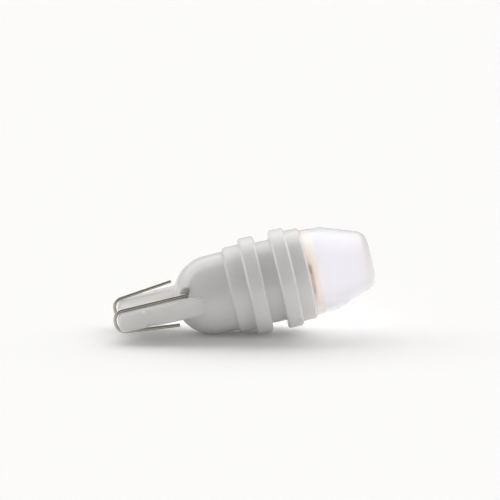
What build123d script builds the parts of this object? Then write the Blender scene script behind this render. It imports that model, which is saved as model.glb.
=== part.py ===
from build123d import *
import os
from math import asin, atan2, cos, degrees, hypot, radians, sin, tan

os.makedirs("parts", exist_ok=True)

# A capless 12 V led bulb with a flat wedge base, lying on its side.
# All sizes are in millimetres. A place along the bulb is measured on its axis,
# from the free end of the wedge towards the lens.

# Wedge: the flat blade that plugs into the holder
base_width = 9.5
base_thickness = 2.1
base_draft = 0.8
base_reach = 7.05
blade_end_flat = 0.5
blade_edge_bevel = 0.25
blade_runout_round = 9.0
blade_runout = 4.2
blade_run_on = 1.1

# Bevelled notch in each long edge of the wedge, which a holder's spring clicks into
notch_at = 3.7
notch_length = 2.4
notch_depth = 0.42

# Bell: a ball between the wedge and the rings that runs on into a slightly sloping side,
# as far under the first ring as its drop
bell_drop = 0.39
bell_length = 6.65
bell_ball_setback = 2.2
bell_side_slope = 1.5
bell_foot_bevel = 0.2

# Rings, groove and collar, in order from the bell. The third ring is the largest, and the
# drops say how far each of the others stands under its larger neighbour.
ring_3_diameter = 11.9
ring_2_drop = 0.15
ring_1_drop = 0.65
groove_depth = 0.9
collar_drop = 0.45
ring_1_width = 2.0
ring_2_width = 1.9
groove_width = 1.8
ring_3_width = 1.9
collar_width = 1.75
ring_1_bevel = 0.12
ring_edge_bevel = 0.22
rim_bevel = 0.2

# Hollow of the body
bell_wall = 1.16
bell_floor = 3.55
rim_wall = 0.75
seat_depth = 0.95

# Lens
lens_flange_drop = 0.35
lens_shoulder_drop = 0.125
lens_shoulder_at = 2.45
lens_height = 7.65
lens_taper = 19.2
lens_end_round = 1.5
lens_shoulder_round = 2.5
lens_wall = 0.9
lens_skirt_wall = 0.45

# Contact wires
wire_diameter = 0.4
wire_inset = 0.45
wire_tip_at = 6.95
wire_tip_lift = 0.7
wire_hole_width = 1.1
wire_hole_height = 1.15
wire_pad_length = 1.3

# Boards and what is soldered to them
driver_inset = 0.2
driver_thickness = 0.8
driver_pocket_depth = 0.9
tongue_width = 0.7
led_board_thickness = 1.0
phosphor_inset = 0.1
phosphor_height = 0.6
phosphor_bevel = 0.2
rectifier_length = 4.7
rectifier_inset = 1.4
rectifier_height = 1.5
rectifier_edge = 0.25
dropper_length = 3.2
dropper_width = 1.6
dropper_height = 0.55
dropper_spacing = 2.6
led_chip_length = 1.0
led_chip_width = 0.5
led_chip_height = 0.35
led_chip_inset = 0.72
led_chip_spacing = 2.4

# Clearances
fit_clearance = 0.03
board_clearance = 0.05
wire_clearance = 0.02
wire_lap = 0.17

# Diameters that follow from the sizes
ring_2_diameter = ring_3_diameter - 2 * ring_2_drop
ring_1_diameter = ring_2_diameter - 2 * ring_1_drop
bell_diameter = ring_1_diameter - 2 * bell_drop
groove_diameter = ring_2_diameter - 2 * groove_depth
collar_diameter = ring_3_diameter - 2 * collar_drop
seat_diameter = collar_diameter - 2 * rim_wall
lens_flange_diameter = collar_diameter - 2 * lens_flange_drop
lens_shoulder_diameter = lens_flange_diameter - 2 * lens_shoulder_drop
cavity_diameter = bell_diameter - 2 * bell_wall
driver_width = cavity_diameter - 2 * driver_inset
wire_spacing = driver_width - 2 * wire_inset
bell_radius = bell_diameter / 2
wire_radius = wire_diameter / 2

# Places along the axis that follow from the sizes
cavity_floor_at = base_reach + bell_floor
ring_1_at = base_reach + bell_length
ring_2_at = ring_1_at + ring_1_width
groove_at = ring_2_at + ring_2_width
ring_3_at = groove_at + groove_width
collar_at = ring_3_at + ring_3_width
rim_at = collar_at + collar_width
seat_at = rim_at - seat_depth
led_board_top_at = seat_at + led_board_thickness
lens_end_at = rim_at + lens_height

# Bell outline: the ball's arc about the axis, and the side that leaves it as a tangent
side_slope = tan(radians(bell_side_slope))
ball_centre_at = ring_1_at - bell_ball_setback
ball_radius = (bell_radius - bell_ball_setback * side_slope) * cos(radians(bell_side_slope))

# Resting tilt: the bulb lies on the bell's ball and on the bevelled lower edge of the
# second ring, so the floor touches the ball and passes through that edge
rest_run = ring_2_at + ring_edge_bevel - ball_centre_at
rest_rise = ring_2_diameter / 2
rest_angle = atan2(rest_rise, rest_run) - asin(ball_radius / hypot(rest_run, rest_rise))
axis_height = ball_radius - ball_centre_at * sin(rest_angle)


# The wedge's wide faces lean out by the draft, and have the nominal thickness half way
def blade_half_thickness(at):
    return base_thickness / 2 + (at - base_reach / 2) * tan(radians(base_draft))


# Lens outline radii
lens_shoulder_place = rim_at + lens_shoulder_at
taper_slope = tan(radians(lens_taper))
lens_end_radius = lens_shoulder_diameter / 2 - (lens_end_at - lens_shoulder_place) * taper_slope
lens_face_radius = lens_end_radius - lens_end_round * tan(radians(45 - lens_taper / 2))

# Contact wire line, which follows the wide face and bends round just beyond the free end
blade_end_round = blade_half_thickness(0) - blade_end_flat / 2
wire_turn_at = -(wire_radius + wire_lap)
wire_off_face = wire_radius + wire_clearance
wire_bend_radius = blade_end_round + wire_off_face + wire_lap


def wire_height(at):
    return blade_half_thickness(at) + wire_off_face


# The origin is on the floor, under the middle of the bulb's length
wire_centre_at = wire_turn_at + wire_bend_radius
wire_centre_height = wire_height(wire_turn_at) - wire_bend_radius
left_reach = (
    wire_centre_at * cos(rest_angle)
    - wire_centre_height * sin(rest_angle)
    - wire_bend_radius
    - wire_radius
)
right_reach = (
    (lens_end_at - lens_end_round) * cos(rest_angle)
    + lens_face_radius * sin(rest_angle)
    + lens_end_round
)
base_point = (-(left_reach + right_reach) / 2, 0, axis_height)
along = (cos(rest_angle), 0, sin(rest_angle))
upward = (-sin(rest_angle), 0, cos(rest_angle))
bulb_axis = Axis(base_point, along)

# Planes of the bulb: its side (along, up), its top (along, across) and its sections
side_plane = Plane(base_point, x_dir=along, z_dir=(0, -1, 0))
top_plane = Plane(base_point, x_dir=along, z_dir=upward)


def section_plane(at):
    return Plane(base_point, x_dir=(0, 1, 0), z_dir=along).offset(at)


# Bulb body: one moulding, from the wedge to the rim that holds the lens
blade_straight_to = base_reach + blade_run_on
blade_end_at = base_reach + blade_runout
runout_angle = degrees(asin((blade_end_at - blade_straight_to) / blade_runout_round))


def bevelled_ring(start_at, end_at, radius):
    return [
        (start_at, radius - ring_edge_bevel),
        (start_at + ring_edge_bevel, radius),
        (end_at - ring_edge_bevel, radius),
        (end_at, radius - ring_edge_bevel),
    ]


with BuildPart() as bulb_body:
    # The blade in side view, with a rounded free end
    with BuildSketch(side_plane) as blade_side:
        with BuildLine():
            Polyline(
                (0, -blade_half_thickness(0)),
                (0, blade_half_thickness(0)),
                (blade_end_at, blade_half_thickness(blade_end_at)),
                (blade_end_at, -blade_half_thickness(blade_end_at)),
                close=True,
            )
        make_face()
        fillet(blade_side.vertices().group_by(Axis.X)[0], blade_end_round)
    extrude(amount=base_width / 2, both=True)

    # The blade in plan, with narrow faces that curve away into the bell
    with BuildSketch(top_plane):
        with BuildLine():
            near_runout = JernArc(
                start=(blade_straight_to, -base_width / 2),
                tangent=(1, 0),
                radius=blade_runout_round,
                arc_size=runout_angle,
            )
            far_runout = JernArc(
                start=(blade_straight_to, base_width / 2),
                tangent=(1, 0),
                radius=blade_runout_round,
                arc_size=-runout_angle,
            )
            Polyline(near_runout @ 0, (0, -base_width / 2), (0, base_width / 2), far_runout @ 0)
            Line(near_runout @ 1, far_runout @ 1)
        make_face()
    extrude(amount=base_thickness, both=True, mode=Mode.INTERSECT)

    # Bevelled edges all along each narrow face, save where it meets its own curve
    narrow_faces = bulb_body.faces().filter_by(Axis.Y).sort_by(Axis.Y)
    edges_near = narrow_faces[0].edges().sort_by(bulb_axis)[:-1]
    edges_far = narrow_faces[-1].edges().sort_by(bulb_axis)[:-1]
    chamfer(edges_near + edges_far, blade_edge_bevel)

    # A bevelled notch in each long edge
    for side in (-1, 1):
        for face in (-1, 1):
            edge_point = side_plane.from_local_coords(
                (notch_at, face * blade_half_thickness(notch_at), side * base_width / 2)
            )
            inward = Vector(0, side, 0) - Vector(*upward) * face
            notch_plane = Plane(edge_point, x_dir=along, z_dir=Vector(*along).cross(inward))
            with BuildSketch(notch_plane):
                Trapezoid(
                    notch_length,
                    2 * notch_depth,
                    left_side_angle=45,
                    align=(Align.CENTER, Align.CENTER),
                )
            extrude(amount=base_thickness, both=True, mode=Mode.SUBTRACT)

    # The bell, the rings, the groove and the collar, turned about the axis
    with BuildSketch(side_plane):
        with BuildLine():
            ball = CenterArc(
                (ball_centre_at, 0),
                ball_radius,
                start_angle=180,
                arc_size=bell_side_slope - 90,
            )
            Polyline(
                ball @ 1,
                (ring_1_at - bell_foot_bevel, bell_radius - bell_foot_bevel * side_slope),
                (ring_1_at, bell_radius + bell_foot_bevel),
                (ring_1_at, ring_1_diameter / 2 - ring_1_bevel),
                (ring_1_at + ring_1_bevel, ring_1_diameter / 2),
                (ring_2_at, ring_1_diameter / 2),
                *bevelled_ring(ring_2_at, groove_at, ring_2_diameter / 2),
                (groove_at, groove_diameter / 2),
                (ring_3_at, groove_diameter / 2),
                *bevelled_ring(ring_3_at, collar_at, ring_3_diameter / 2),
                (collar_at, collar_diameter / 2),
                (rim_at - rim_bevel, collar_diameter / 2),
                (rim_at, collar_diameter / 2 - rim_bevel),
                (rim_at, 0),
                ball @ 0,
            )
        make_face()
    revolve(axis=bulb_axis)

    # The stepped hollow: the driver's chamber, and the seat of the led board and the lens
    with BuildSketch(section_plane(rim_at)):
        Circle(seat_diameter / 2)
    extrude(amount=-seat_depth, mode=Mode.SUBTRACT)
    with BuildSketch(section_plane(seat_at)):
        Circle(cavity_diameter / 2)
    extrude(amount=cavity_floor_at - seat_at, mode=Mode.SUBTRACT)

    # The pocket in the chamber's floor that holds the foot of the driver board
    with BuildSketch(section_plane(cavity_floor_at)):
        Rectangle(
            driver_width + 2 * board_clearance,
            driver_thickness + 2 * board_clearance,
        )
    extrude(amount=-driver_pocket_depth, mode=Mode.SUBTRACT)

    # A round-topped hole for each contact wire, level with the wedge's wide face
    hole_floor = blade_half_thickness(base_reach)
    for turn in (-1, 1):
        with BuildSketch(section_plane(cavity_floor_at)):
            with BuildLine():
                hole_top = hole_floor + wire_hole_height
                hole_left = wire_spacing / 2 - wire_hole_width / 2
                hole_right = wire_spacing / 2 + wire_hole_width / 2
                hole_spring = hole_top - wire_hole_width / 2
                Polyline(
                    (turn * hole_left, -turn * hole_spring),
                    (turn * hole_left, -turn * hole_floor),
                    (turn * hole_right, -turn * hole_floor),
                    (turn * hole_right, -turn * hole_spring),
                )
                ThreePointArc(
                    (turn * hole_right, -turn * hole_spring),
                    (turn * wire_spacing / 2, -turn * hole_top),
                    (turn * hole_left, -turn * hole_spring),
                )
            make_face()
        extrude(amount=ball_centre_at - ball_radius - cavity_floor_at, mode=Mode.SUBTRACT)
bulb_body.part.label = "bulb_body"
export_step(bulb_body.part, "parts/bulb_body.step")

# Lens: a tapered cap with a rounded end, a flange that stops on the collar's rim
# and a thin skirt that plugs into the seat
lens_fit_radius = seat_diameter / 2 - fit_clearance
skirt_radius = lens_fit_radius - lens_skirt_wall
skirt_end_at = seat_at + fit_clearance
inner_offset = lens_wall / cos(radians(lens_taper))
inner_corner_at = (
    lens_shoulder_place
    + (lens_shoulder_diameter / 2 - inner_offset - skirt_radius) / taper_slope
)
inner_end_at = lens_end_at - lens_wall
inner_end_radius = skirt_radius - (inner_end_at - inner_corner_at) * taper_slope

with BuildPart() as lens:
    with BuildSketch(side_plane):
        with BuildLine():
            FilletPolyline(
                (skirt_end_at, skirt_radius),
                (skirt_end_at, lens_fit_radius),
                (rim_at, lens_fit_radius),
                (rim_at, lens_flange_diameter / 2),
                (lens_shoulder_place, lens_shoulder_diameter / 2),
                (lens_end_at, lens_end_radius),
                (lens_end_at, 0),
                radius=[0, 0, 0, lens_shoulder_round, lens_end_round],
            )
            Polyline(
                (lens_end_at, 0),
                (inner_end_at, 0),
                (inner_end_at, inner_end_radius),
                (inner_corner_at, skirt_radius),
                (skirt_end_at, skirt_radius),
            )
        make_face()
    revolve(axis=bulb_axis)
lens.part.label = "lens"
export_step(lens.part, "parts/lens.step")

# Contact wires: out of the hole, along the wedge, round its free end and back along
# the other wide face, sprung away from it. Each is the other turned half round.
driver_face = driver_thickness / 2
wire_pad_height = driver_face + wire_radius + wire_clearance
wire_bend_at = cavity_floor_at + wire_hole_width / 2
wire_pad_at = wire_bend_at + wire_pad_length
wire_names = ("contact_wire_near", "contact_wire_far")

for name, turn in zip(wire_names, (1, -1)):
    wire_plane = Plane(base_point, x_dir=along, z_dir=(0, -turn, 0)).offset(wire_spacing / 2)
    with BuildPart() as contact_wire:
        with BuildLine(wire_plane) as wire_route:
            FilletPolyline(
                (wire_pad_at + wire_pad_length, wire_pad_height),
                (wire_pad_at, wire_pad_height),
                (wire_bend_at, wire_height(wire_bend_at)),
                (wire_turn_at, wire_height(wire_turn_at)),
                (wire_turn_at, -wire_height(wire_turn_at)),
                (wire_tip_at, -wire_height(wire_tip_at) - wire_tip_lift),
                radius=[0, 0, wire_bend_radius, wire_bend_radius],
            )
        with BuildSketch(Plane(wire_route.line @ 0, z_dir=wire_route.line % 0)):
            Circle(wire_radius)
        sweep(path=wire_route.line, transition=Transition.RIGHT)
    contact_wire.part.label = name
    export_step(contact_wire.part, f"parts/{name}.step")

# Driver board: a narrow board on the axis, with its foot in the pocket and two tongues
# through the led board
driver_foot_at = cavity_floor_at - driver_pocket_depth
tongue_centre = (driver_width - tongue_width) / 2

with BuildPart() as driver_board:
    with BuildSketch(top_plane):
        with BuildLine():
            Polyline(
                (driver_foot_at, -driver_width / 2),
                (led_board_top_at, -driver_width / 2),
                (led_board_top_at, -driver_width / 2 + tongue_width),
                (seat_at, -driver_width / 2 + tongue_width),
                (seat_at, driver_width / 2 - tongue_width),
                (led_board_top_at, driver_width / 2 - tongue_width),
                (led_board_top_at, driver_width / 2),
                (driver_foot_at, driver_width / 2),
                close=True,
            )
        make_face()
    extrude(amount=driver_thickness / 2, both=True)
driver_board.part.label = "driver_board"
export_step(driver_board.part, "parts/driver_board.step")

# Bridge rectifier on the driver board's upper face, beyond the wire pads
wire_end_at = wire_pad_at + wire_pad_length
rectifier_at = wire_end_at + fit_clearance + rectifier_length / 2 + rectifier_height / 2

with BuildPart() as bridge_rectifier:
    with BuildSketch(top_plane.offset(driver_face)):
        with Locations((rectifier_at, 0)):
            Rectangle(rectifier_length, driver_width - 2 * rectifier_inset)
    extrude(amount=rectifier_height)
    chamfer(bridge_rectifier.faces().sort_by(Axis(base_point, upward))[-1].edges(), rectifier_edge)
bridge_rectifier.part.label = "bridge_rectifier"
export_step(bridge_rectifier.part, "parts/bridge_rectifier.step")

# Dropper resistors side by side on the driver board's lower face
for index, side in enumerate((-1, 1), start=1):
    with BuildPart() as dropper_resistor:
        with BuildSketch(top_plane.offset(-driver_face)):
            with Locations((rectifier_at, side * dropper_spacing / 2)):
                Rectangle(dropper_length, dropper_width)
        extrude(amount=-dropper_height)
    dropper_resistor.part.label = f"dropper_resistor_{index}"
    export_step(dropper_resistor.part, f"parts/dropper_resistor_{index}.step")

# Led board: a round board on the seat, inside the lens's skirt
led_board_radius = skirt_radius - board_clearance

with BuildPart() as led_board:
    with BuildSketch(section_plane(seat_at)):
        Circle(led_board_radius)
        with Locations((-tongue_centre, 0), (tongue_centre, 0)):
            Rectangle(
                tongue_width + 2 * board_clearance,
                driver_thickness + 2 * board_clearance,
                mode=Mode.SUBTRACT,
            )
    extrude(amount=led_board_thickness)
led_board.part.label = "led_board"
export_step(led_board.part, "parts/led_board.step")

# Phosphor layer: a low round pad of silicone over the led chips
with BuildPart() as phosphor_layer:
    with BuildSketch(section_plane(led_board_top_at)):
        Circle(driver_width / 2 - tongue_width - phosphor_inset)
    extrude(amount=phosphor_height)
    chamfer(phosphor_layer.edges().sort_by(bulb_axis)[-1], phosphor_bevel)
phosphor_layer.part.label = "phosphor_layer"
export_step(phosphor_layer.part, "parts/phosphor_layer.step")

# Two small resistors on the led board, either side of the near tongue
for index, side in enumerate((1, -1), start=1):
    with BuildPart() as led_resistor:
        with BuildSketch(section_plane(led_board_top_at)):
            with Locations((led_chip_inset - led_board_radius, side * led_chip_spacing / 2)):
                Rectangle(led_chip_width, led_chip_length)
        extrude(amount=led_chip_height)
    led_resistor.part.label = f"led_resistor_{index}"
    export_step(led_resistor.part, f"parts/led_resistor_{index}.step")
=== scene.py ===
from math import radians

import bpy
from mathutils import Euler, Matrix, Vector

# A wedge base led bulb on its side, on a plain white floor.
# The CAD nodes hold every shape of the bulb. This script gives them their materials, and
# sets the floor, the studio light and the camera. Lengths are in metres, and a noise scale
# counts features to a metre, so that 500 gives spots about 2 mm across.

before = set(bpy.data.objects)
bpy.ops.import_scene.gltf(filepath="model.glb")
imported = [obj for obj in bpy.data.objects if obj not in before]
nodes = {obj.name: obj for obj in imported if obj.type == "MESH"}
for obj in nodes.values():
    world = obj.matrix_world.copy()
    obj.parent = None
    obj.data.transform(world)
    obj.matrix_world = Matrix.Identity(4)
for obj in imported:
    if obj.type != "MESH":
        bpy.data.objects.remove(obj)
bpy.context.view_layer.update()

# The bulb's own axis: the point at the wedge's free end, and the direction towards the lens
BULB_START = Vector((-0.014932125, 0.0, 0.002201502))
ALONG = Vector((0.9760985, 0.0, 0.2173285))

# Places along the axis, measured from the wedge's free end
BELL_END = 0.0137
RIM = 0.02305
BAND_END = 0.0240
END_ROUND = 0.0294


# Node helpers

NOISE_DETAIL = 3.0
NOISE_LOW = 0.3
NOISE_HIGH = 0.7


def new_material(name):
    material = bpy.data.materials.new(name)
    material.use_nodes = True
    tree = material.node_tree
    return material, tree, tree.nodes["Principled BSDF"]


def link(tree, source, target):
    tree.links.new(source, target)


def set_inputs(node, values):
    for name, value in values.items():
        node.inputs[name].default_value = value


def opaque(colour):
    return (*colour, 1.0)


def coordinates(tree):
    return tree.nodes.new("ShaderNodeTexCoord").outputs["Object"]


def noise(tree, point, scale):
    node = tree.nodes.new("ShaderNodeTexNoise")
    set_inputs(node, {"Scale": scale, "Detail": NOISE_DETAIL})
    link(tree, point, node.inputs["Vector"])
    return node.outputs["Fac"]


def ramp(tree, factor, low, high, to_low, to_high, smooth=True):
    """Goes from to_low to to_high while the factor goes from low to high, and stays there."""
    node = tree.nodes.new("ShaderNodeMapRange")
    node.interpolation_type = "SMOOTHSTEP" if smooth else "LINEAR"
    set_inputs(node, {"From Min": low, "From Max": high, "To Min": to_low, "To Max": to_high})
    link(tree, factor, node.inputs["Value"])
    return node.outputs["Result"]


def grain(tree, point, scale, low, high, smooth=True):
    """Noise that covers the range from low to high."""
    return ramp(tree, noise(tree, point, scale), NOISE_LOW, NOISE_HIGH, low, high, smooth)


def mix_colour(tree, factor, first, second):
    node = tree.nodes.new("ShaderNodeMix")
    node.data_type = "RGBA"
    link(tree, factor, node.inputs["Factor"])
    for socket, colour in ((node.inputs["A"], first), (node.inputs["B"], second)):
        if isinstance(colour, tuple):
            socket.default_value = opaque(colour)
        else:
            link(tree, colour, socket)
    return node.outputs["Result"]


def combine(tree, operation, first, second):
    node = tree.nodes.new("ShaderNodeMath")
    node.operation = operation
    for socket, value in zip(node.inputs, (first, second)):
        if isinstance(value, float):
            socket.default_value = value
        else:
            link(tree, value, socket)
    return node.outputs["Value"]


def bump(tree, shader, height, strength, distance):
    node = tree.nodes.new("ShaderNodeBump")
    set_inputs(node, {"Strength": strength, "Distance": distance})
    link(tree, height, node.inputs["Height"])
    link(tree, node.outputs["Normal"], shader.inputs["Normal"])


def place_along(tree, point):
    """How far a point of the surface lies along the bulb's axis from the wedge's free end."""
    dot = tree.nodes.new("ShaderNodeVectorMath")
    dot.operation = "DOT_PRODUCT"
    dot.inputs[1].default_value = ALONG
    link(tree, point, dot.inputs[0])
    return combine(tree, "SUBTRACT", dot.outputs["Value"], BULB_START.dot(ALONG))


def dress(material, *names):
    for name in names:
        nodes[name].data.materials.clear()
        nodes[name].data.materials.append(material)


# Glazed white body: glossy on the wedge and the bell, a little duller on the rings, and painted
# paler towards the rim, a painted glow for the light that the lens and the floor put on that end

GLAZE = ((0.85, 0.845, 0.84), (0.88, 0.875, 0.87))
GLAZE_PAINTED_GLOW_AT_RIM = (0.92, 0.91, 0.905)
GLAZE_CLOUDS = 260.0
GLAZE_GRAIN = 900.0
GLAZE_RIPPLES = 500.0
PAINTED_GLOW_FULL_AT = RIM - 0.001
GLOSSY_UNTIL = BELL_END - 0.0004
DULL_FROM = BELL_END + 0.0002
GLOSSY = 0.06
DULL = 0.22


def make_body():
    material, tree, shader = new_material("body_ceramic")
    point = coordinates(tree)
    place = place_along(tree, point)
    glaze = mix_colour(tree, noise(tree, point, GLAZE_CLOUDS), *GLAZE)
    # Painted glow: the colour grows paler from the bell to the rim, standing in for light on that
    # end
    painted_glow_towards_rim = ramp(tree, place, BELL_END, PAINTED_GLOW_FULL_AT, 0.0, 1.0)
    colour = mix_colour(tree, painted_glow_towards_rim, glaze, GLAZE_PAINTED_GLOW_AT_RIM)
    link(tree, colour, shader.inputs["Base Color"])
    dullness = ramp(tree, place, GLOSSY_UNTIL, DULL_FROM, GLOSSY, DULL)
    specks = grain(tree, point, GLAZE_GRAIN, -0.01, 0.02, smooth=False)
    link(tree, combine(tree, "ADD", dullness, specks), shader.inputs["Roughness"])
    set_inputs(shader, {
        "Subsurface Weight": 0.7,
        "Subsurface Radius": (1.0, 0.92, 0.85),
        "Subsurface Scale": 0.0015,
        "IOR": 1.5,
    })
    ripples = noise(tree, point, GLAZE_RIPPLES)
    bump(tree, shader, ripples, strength=0.05, distance=0.0001)
    return material


# Frosted lens: clearer and warmer in the narrow band next to the body, and painted pinker over
# its rounded end, a painted highlight on the end's edge. It stops only part of the light on its
# way in, as a real one does.

FROST = ((0.945, 0.94, 0.98), (0.955, 0.95, 0.99))
BAND_TINT = (0.985, 0.915, 0.87)
END_PAINTED_HIGHLIGHT = (0.97, 0.94, 0.955)
FROST_CLOUDS = 320.0
FROST_GRAIN = 1200.0
BAND_UNTIL = BAND_END - 0.0001
FROST_FROM = BAND_END + 0.0004
FROST_UNTIL = END_ROUND - 0.0004
END_FROM = END_ROUND + 0.0002
BAND_OPACITY = 0.80
SHADOW_OPACITY = 0.18


def make_lens():
    material, tree, shader = new_material("lens_frosted")
    point = coordinates(tree)
    place = place_along(tree, point)
    frost = mix_colour(tree, noise(tree, point, FROST_CLOUDS), *FROST)
    past_band = ramp(tree, place, BAND_UNTIL, FROST_FROM, 0.0, 1.0)
    # Painted highlight: the rounded end is tinted pinker to stand in for the highlight on its edge
    painted_highlight_at_end = ramp(tree, place, FROST_UNTIL, END_FROM, 0.0, 1.0)
    milky = mix_colour(tree, past_band, BAND_TINT, frost)
    link(tree, mix_colour(tree, painted_highlight_at_end, milky, END_PAINTED_HIGHLIGHT), shader.inputs["Base Color"])
    shadow = tree.nodes.new("ShaderNodeLightPath").outputs["Is Shadow Ray"]
    stops_light = ramp(tree, shadow, 0.0, 1.0, 1.0, SHADOW_OPACITY, smooth=False)
    opacity = ramp(tree, place, BAND_UNTIL, FROST_FROM, BAND_OPACITY, 1.0)
    link(tree, combine(tree, "MULTIPLY", opacity, stops_light), shader.inputs["Alpha"])
    roughness = grain(tree, point, FROST_GRAIN, 0.40, 0.48, smooth=False)
    link(tree, roughness, shader.inputs["Roughness"])
    set_inputs(shader, {"Transmission Weight": 1.0, "IOR": 1.49})
    return material


# Tinned contact wire with faint draw marks

TIN = ((0.46, 0.435, 0.39), (0.55, 0.525, 0.475))
TIN_CLOUDS = 700.0
TIN_GRAIN = 2200.0
DRAW_MARKS = 3000.0


def make_wire():
    material, tree, shader = new_material("wire_tinned")
    point = coordinates(tree)
    link(tree, mix_colour(tree, noise(tree, point, TIN_CLOUDS), *TIN), shader.inputs["Base Color"])
    shader.inputs["Metallic"].default_value = 1.0
    link(tree, grain(tree, point, TIN_GRAIN, 0.08, 0.16), shader.inputs["Roughness"])
    bump(tree, shader, noise(tree, point, DRAW_MARKS), strength=0.1, distance=0.00002)
    return material


# Plain finishes with a slight cloudiness: boards, silicone and components

GRAIN_TO_CLOUDS = 3
ROUGHNESS_SPREAD = 0.05
SCATTER_DEPTH = 0.0006


def make_cloudy(name, dark, light, roughness, clouds, subsurface=0.0):
    material, tree, shader = new_material(name)
    point = coordinates(tree)
    colour = mix_colour(tree, noise(tree, point, clouds), dark, light)
    link(tree, colour, shader.inputs["Base Color"])
    smoothest = roughness - ROUGHNESS_SPREAD
    roughest = roughness + ROUGHNESS_SPREAD
    specks = grain(tree, point, GRAIN_TO_CLOUDS * clouds, smoothest, roughest)
    link(tree, specks, shader.inputs["Roughness"])
    set_inputs(shader, {"Subsurface Weight": subsurface, "Subsurface Scale": SCATTER_DEPTH})
    return material


dress(make_body(), "bulb_body")
dress(make_lens(), "lens")
dress(make_wire(), "contact_wire_near", "contact_wire_far")
dress(
    make_cloudy(
        "board_white", (0.74, 0.74, 0.70), (0.82, 0.82, 0.78), roughness=0.4, clouds=500.0
    ),
    "led_board",
)
dress(
    make_cloudy(
        "board_green", (0.02, 0.11, 0.05), (0.03, 0.15, 0.07), roughness=0.4, clouds=500.0
    ),
    "driver_board",
)
dress(
    make_cloudy(
        "phosphor", (0.98, 0.76, 0.58), (0.99, 0.82, 0.66),
        roughness=0.4, clouds=900.0, subsurface=0.3,
    ),
    "phosphor_layer",
)
dress(
    make_cloudy(
        "chip_dark", (0.42, 0.42, 0.43), (0.50, 0.50, 0.51), roughness=0.5, clouds=1500.0
    ),
    "led_resistor_1",
    "led_resistor_2",
    "bridge_rectifier",
    "dropper_resistor_1",
    "dropper_resistor_2",
)


# Floor: pale under the bulb's light, and lifted to white where it is seen, with the bulb's
# shadow on it. The lift puts no light on the bulb.

FLOOR_SIZE = 6.0
FLOOR_PALE = ((0.92, 0.91, 0.90), (0.94, 0.93, 0.92))
FLOOR_SEEN = (0.975, 0.975, 0.97)
FLOOR_CLOUDS = 30.0
FLOOR_LIFT = 0.08
WHITE = (1.0, 1.0, 1.0)


def seen(tree):
    """1 for what the camera, a reflection or a see-through part shows, else 0."""
    path = tree.nodes.new("ShaderNodeLightPath").outputs
    direct = combine(tree, "MAXIMUM", path["Is Camera Ray"], path["Is Glossy Ray"])
    return combine(tree, "MAXIMUM", direct, path["Is Transmission Ray"])


def make_floor():
    bpy.ops.mesh.primitive_plane_add(size=FLOOR_SIZE)
    floor = bpy.context.object
    floor.name = "floor"
    material, tree, shader = new_material("floor_white")
    pale = mix_colour(tree, noise(tree, coordinates(tree), FLOOR_CLOUDS), *FLOOR_PALE)
    shown = seen(tree)
    link(tree, mix_colour(tree, shown, pale, FLOOR_SEEN), shader.inputs["Base Color"])
    link(tree, combine(tree, "MULTIPLY", shown, FLOOR_LIFT), shader.inputs["Emission Strength"])
    set_inputs(shader, {
        "Emission Color": opaque(WHITE),
        "Roughness": 0.8,
        "Specular IOR Level": 0.1,
    })
    material.cycles.emission_sampling = "NONE"
    floor.data.materials.append(material)
    return floor


make_floor()


# Studio light: a wide softbox from above the bulb down its back, over a dimmer wall, with a
# dim front and lit sides. Angles are in degrees from straight up towards the back, and the
# other values are strengths. The sides are a little wider on the lens's side.

SOFTBOX_NEAR = 6.0
SOFTBOX_FAR = 56.0
SOFTBOX_EDGE = 8.0
BRIGHT = 2.0
WALL = 0.42
DIM = 0.19
SIDE = 0.72
STUDIO_TINT = (1.0, 0.993, 0.985)

# Where the sides start and where they reach their strength, as squares of the sideways
# direction after its shift towards the lens
SIDE_SHIFT = 0.15
SIDE_FROM = 0.12
SIDE_FULL = 0.6


def soft_edge(tree, angle, start, low, high):
    """Goes from low to high over the width of the softbox's edge."""
    return ramp(tree, angle, radians(start), radians(start + SOFTBOX_EDGE), low, high)


def make_background(tree, colour):
    background = tree.nodes.new("ShaderNodeBackground")
    background.inputs["Color"].default_value = opaque(colour)
    return background


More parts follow.
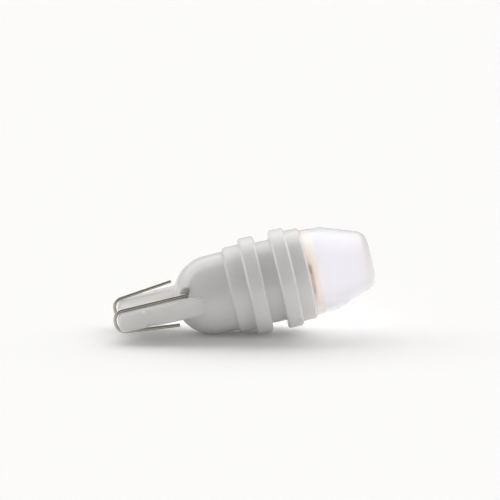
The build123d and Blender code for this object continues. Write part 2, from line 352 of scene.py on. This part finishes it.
def make_world():
    world = bpy.data.worlds.new("studio")
    bpy.context.scene.world = world
    world.use_nodes = True
    tree = world.node_tree
    tree.nodes.clear()
    axes = tree.nodes.new("ShaderNodeSeparateXYZ")
    generated = tree.nodes.new("ShaderNodeTexCoord").outputs["Generated"]
    link(tree, generated, axes.inputs["Vector"])
    behind = combine(tree, "ARCTAN2", axes.outputs["Y"], axes.outputs["Z"])
    softbox = soft_edge(tree, behind, SOFTBOX_NEAR, DIM, BRIGHT)
    below = soft_edge(tree, behind, SOFTBOX_FAR, 0.0, BRIGHT - WALL)
    sideways = combine(tree, "ADD", axes.outputs["X"], SIDE_SHIFT)
    aside = combine(tree, "MULTIPLY", sideways, sideways)
    sides = ramp(tree, aside, SIDE_FROM, SIDE_FULL, 0.0, SIDE)
    strength = combine(tree, "MAXIMUM", combine(tree, "SUBTRACT", softbox, below), sides)
    studio = make_background(tree, STUDIO_TINT)
    link(tree, strength, studio.inputs["Strength"])

    # The camera and what looks through the lens see plain white instead
    white = make_background(tree, WHITE)
    path = tree.nodes.new("ShaderNodeLightPath").outputs
    shown = combine(tree, "MAXIMUM", path["Is Camera Ray"], path["Is Transmission Ray"])
    mix = tree.nodes.new("ShaderNodeMixShader")
    output = tree.nodes.new("ShaderNodeOutputWorld")
    link(tree, shown, mix.inputs["Fac"])
    link(tree, studio.outputs["Background"], mix.inputs[1])
    link(tree, white.outputs["Background"], mix.inputs[2])
    link(tree, mix.outputs["Shader"], output.inputs["Surface"])


make_world()


# Camera at the photo's angle

CAMERA_PLACE = (-0.01567825, -0.24293475, 0.06262035)
CAMERA_DEGREES = (77.81671, -0.25162, -3.80004)

camera_data = bpy.data.cameras.new("camera")
camera_data.sensor_width = 36.0
camera_data.lens = 151.56
camera_data.clip_start = 0.01
camera = bpy.data.objects.new("camera", camera_data)
camera.location = CAMERA_PLACE
camera.rotation_euler = Euler([radians(angle) for angle in CAMERA_DEGREES])
bpy.context.scene.collection.objects.link(camera)
bpy.context.scene.camera = camera

bpy.context.scene.view_settings.view_transform = "Standard"
